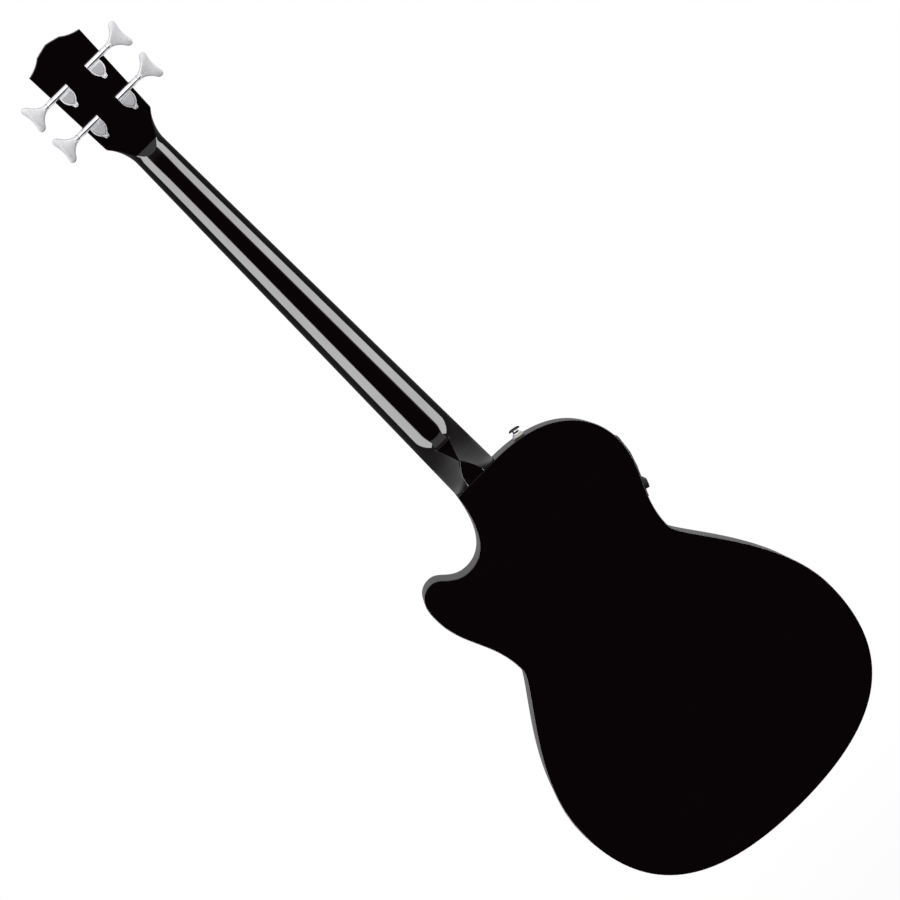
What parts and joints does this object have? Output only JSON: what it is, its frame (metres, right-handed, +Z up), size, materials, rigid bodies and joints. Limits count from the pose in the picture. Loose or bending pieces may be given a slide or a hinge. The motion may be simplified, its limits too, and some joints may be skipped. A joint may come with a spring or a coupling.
{
  "type": "acoustic bass guitar",
  "caption": "Acoustic-electric bass guitar with a black single-cutaway body, a long fretted neck, geared tuners and a side-mounted preamp, played with a strap or seated.",
  "frame": {"origin": "middle of the neck at the nut, on the plane of the soundboard's face, between the arms of a hanger's yoke", "axes": "+Z up the neck towards the headstock, -Y out of the soundboard, +Y out of the back, +X to the side with the cutaway"},
  "size_m": [0.3984, 0.1208, 1.2249],
  "materials": {
    "black_lacquer": "high-gloss black lacquer",
    "spruce": "bare planed",
    "mahogany": "bare planed",
    "rosewood": "oiled, fine pores",
    "black_plastic": "polished",
    "preamp_plastic": "fine satin texture",
    "ivory_plastic": "polished",
    "chrome": "polished chrome",
    "satin_nickel": "satin plating",
    "bronze": "wound wire",
    "steel": "plain",
    "felt": "pressed felt",
    "battery_case": "plain foil"
  },
  "bodies": {
    "instrument": {"soundboard": "black_lacquer", "back_plate": "black_lacquer", "bass_side": "black_lacquer", "treble_side": "black_lacquer", "neck": "black_lacquer", "x_brace": "spruce", "upper_brace": "spruce", "back_bracing": "spruce", "top_lining": "mahogany", "back_lining": "mahogany", "neck_block": "mahogany", "tail_block": "mahogany", "bridge_plate": "mahogany", "fingerboard": "rosewood", "bridge": "rosewood", "top_binding": "black_plastic", "back_binding": "black_plastic", "pickguard": "black_plastic", "heel_cap": "black_plastic", "preamp_panel": "preamp_plastic", "preamp_housing": "preamp_plastic", "nut": "ivory_plastic", "saddle": "ivory_plastic", "rosette": "ivory_plastic", "bridge_pin_1": "ivory_plastic", "bridge_pin_2": "ivory_plastic", "bridge_pin_3": "ivory_plastic", "bridge_pin_4": "ivory_plastic", "strap_button": "chrome", "end_pin_jack": "chrome", "tuner_bushing_bass_lower": "chrome", "tuner_bushing_treble_lower": "chrome", "tuner_bushing_bass_upper": "chrome", "tuner_bushing_treble_upper": "chrome", "tuner_housing_bass_lower": "satin_nickel", "tuner_housing_treble_lower": "satin_nickel", "tuner_housing_bass_upper": "satin_nickel", "tuner_housing_treble_upper": "satin_nickel", "string_1": "bronze", "string_2": "bronze", "string_3": "bronze", "string_4": "bronze", "truss_rod": "steel", "strap_button_screw": "steel", "saddle_pickup": "steel", "strap_button_washer": "felt", "battery": "battery_case"},
    "key_bass_lower": {"tuner_key_bass_lower": "chrome"},
    "post_bass_lower": {"tuner_post_bass_lower": "chrome"},
    "key_treble_lower": {"tuner_key_treble_lower": "chrome"},
    "post_treble_lower": {"tuner_post_treble_lower": "chrome"},
    "key_bass_upper": {"tuner_key_bass_upper": "chrome"},
    "post_bass_upper": {"tuner_post_bass_upper": "chrome"},
    "key_treble_upper": {"tuner_key_treble_upper": "chrome"},
    "post_treble_upper": {"tuner_post_treble_upper": "chrome"},
    "volume_control": {"volume_knob": "preamp_plastic"},
    "bass_control": {"bass_knob": "preamp_plastic"},
    "treble_control": {"treble_knob": "preamp_plastic"},
    "push_control": {"tuner_push_button": "preamp_plastic"},
    "door": {"battery_door": "preamp_plastic"}
  },
  "joints": [
    {"name": "key_turn_bass_lower", "type": "hinge", "parent": "instrument", "child": "key_bass_lower", "pos_m": [-0.054, 0.0339, 0.06891], "axis": [1, 0, 0], "continuous": true},
    {"name": "post_turn_bass_lower", "type": "hinge", "parent": "instrument", "child": "post_bass_lower", "pos_m": [-0.0234, 0.01185, 0.06235], "axis": [0, 0.9781, -0.2079], "continuous": true},
    {"name": "key_turn_treble_lower", "type": "hinge", "parent": "instrument", "child": "key_treble_lower", "pos_m": [0.054, 0.0339, 0.06891], "axis": [1, 0, 0], "continuous": true},
    {"name": "post_turn_treble_lower", "type": "hinge", "parent": "instrument", "child": "post_treble_lower", "pos_m": [0.0234, 0.01185, 0.06235], "axis": [0, 0.9781, -0.2079], "continuous": true},
    {"name": "key_turn_bass_upper", "type": "hinge", "parent": "instrument", "child": "key_bass_upper", "pos_m": [-0.054, 0.04413, 0.11704], "axis": [1, 0, 0], "continuous": true},
    {"name": "post_turn_bass_upper", "type": "hinge", "parent": "instrument", "child": "post_bass_upper", "pos_m": [-0.0234, 0.02208, 0.11048], "axis": [0, 0.9781, -0.2079], "continuous": true},
    {"name": "key_turn_treble_upper", "type": "hinge", "parent": "instrument", "child": "key_treble_upper", "pos_m": [0.054, 0.04413, 0.11704], "axis": [1, 0, 0], "continuous": true},
    {"name": "post_turn_treble_upper", "type": "hinge", "parent": "instrument", "child": "post_treble_upper", "pos_m": [0.0234, 0.02208, 0.11048], "axis": [0, 0.9781, -0.2079], "continuous": true},
    {"name": "volume_turn", "type": "hinge", "parent": "instrument", "child": "volume_control", "pos_m": [-0.13105, 0.033, -0.66486], "axis": [-0.9328, 0, -0.3604], "range_deg": [-150, 150]},
    {"name": "bass_turn", "type": "hinge", "parent": "instrument", "child": "bass_control", "pos_m": [-0.13105, 0.05, -0.66486], "axis": [-0.9328, 0, -0.3604], "range_deg": [-150, 150]},
    {"name": "treble_turn", "type": "hinge", "parent": "instrument", "child": "treble_control", "pos_m": [-0.13105, 0.067, -0.66486], "axis": [-0.9328, 0, -0.3604], "range_deg": [-150, 150]},
    {"name": "push_button_press", "type": "slide", "parent": "instrument", "child": "push_control", "axis": [0.9328, 0, 0.3604], "range_m": [0, 0.0008], "stiffness_N_per_m": 600, "springref_m": -0.0004},
    {"name": "battery_door_swing", "type": "hinge", "parent": "instrument", "child": "door", "pos_m": [-0.1443, 0.05, -0.63031], "axis": [0, -1, 0], "range_deg": [0, 100]}
  ],
  "couplings": [
    {"joint": "post_turn_bass_lower", "follows": "key_turn_bass_lower", "ratio": -0.05},
    {"joint": "post_turn_treble_lower", "follows": "key_turn_treble_lower", "ratio": 0.05},
    {"joint": "post_turn_bass_upper", "follows": "key_turn_bass_upper", "ratio": -0.05},
    {"joint": "post_turn_treble_upper", "follows": "key_turn_treble_upper", "ratio": 0.05}
  ]
}
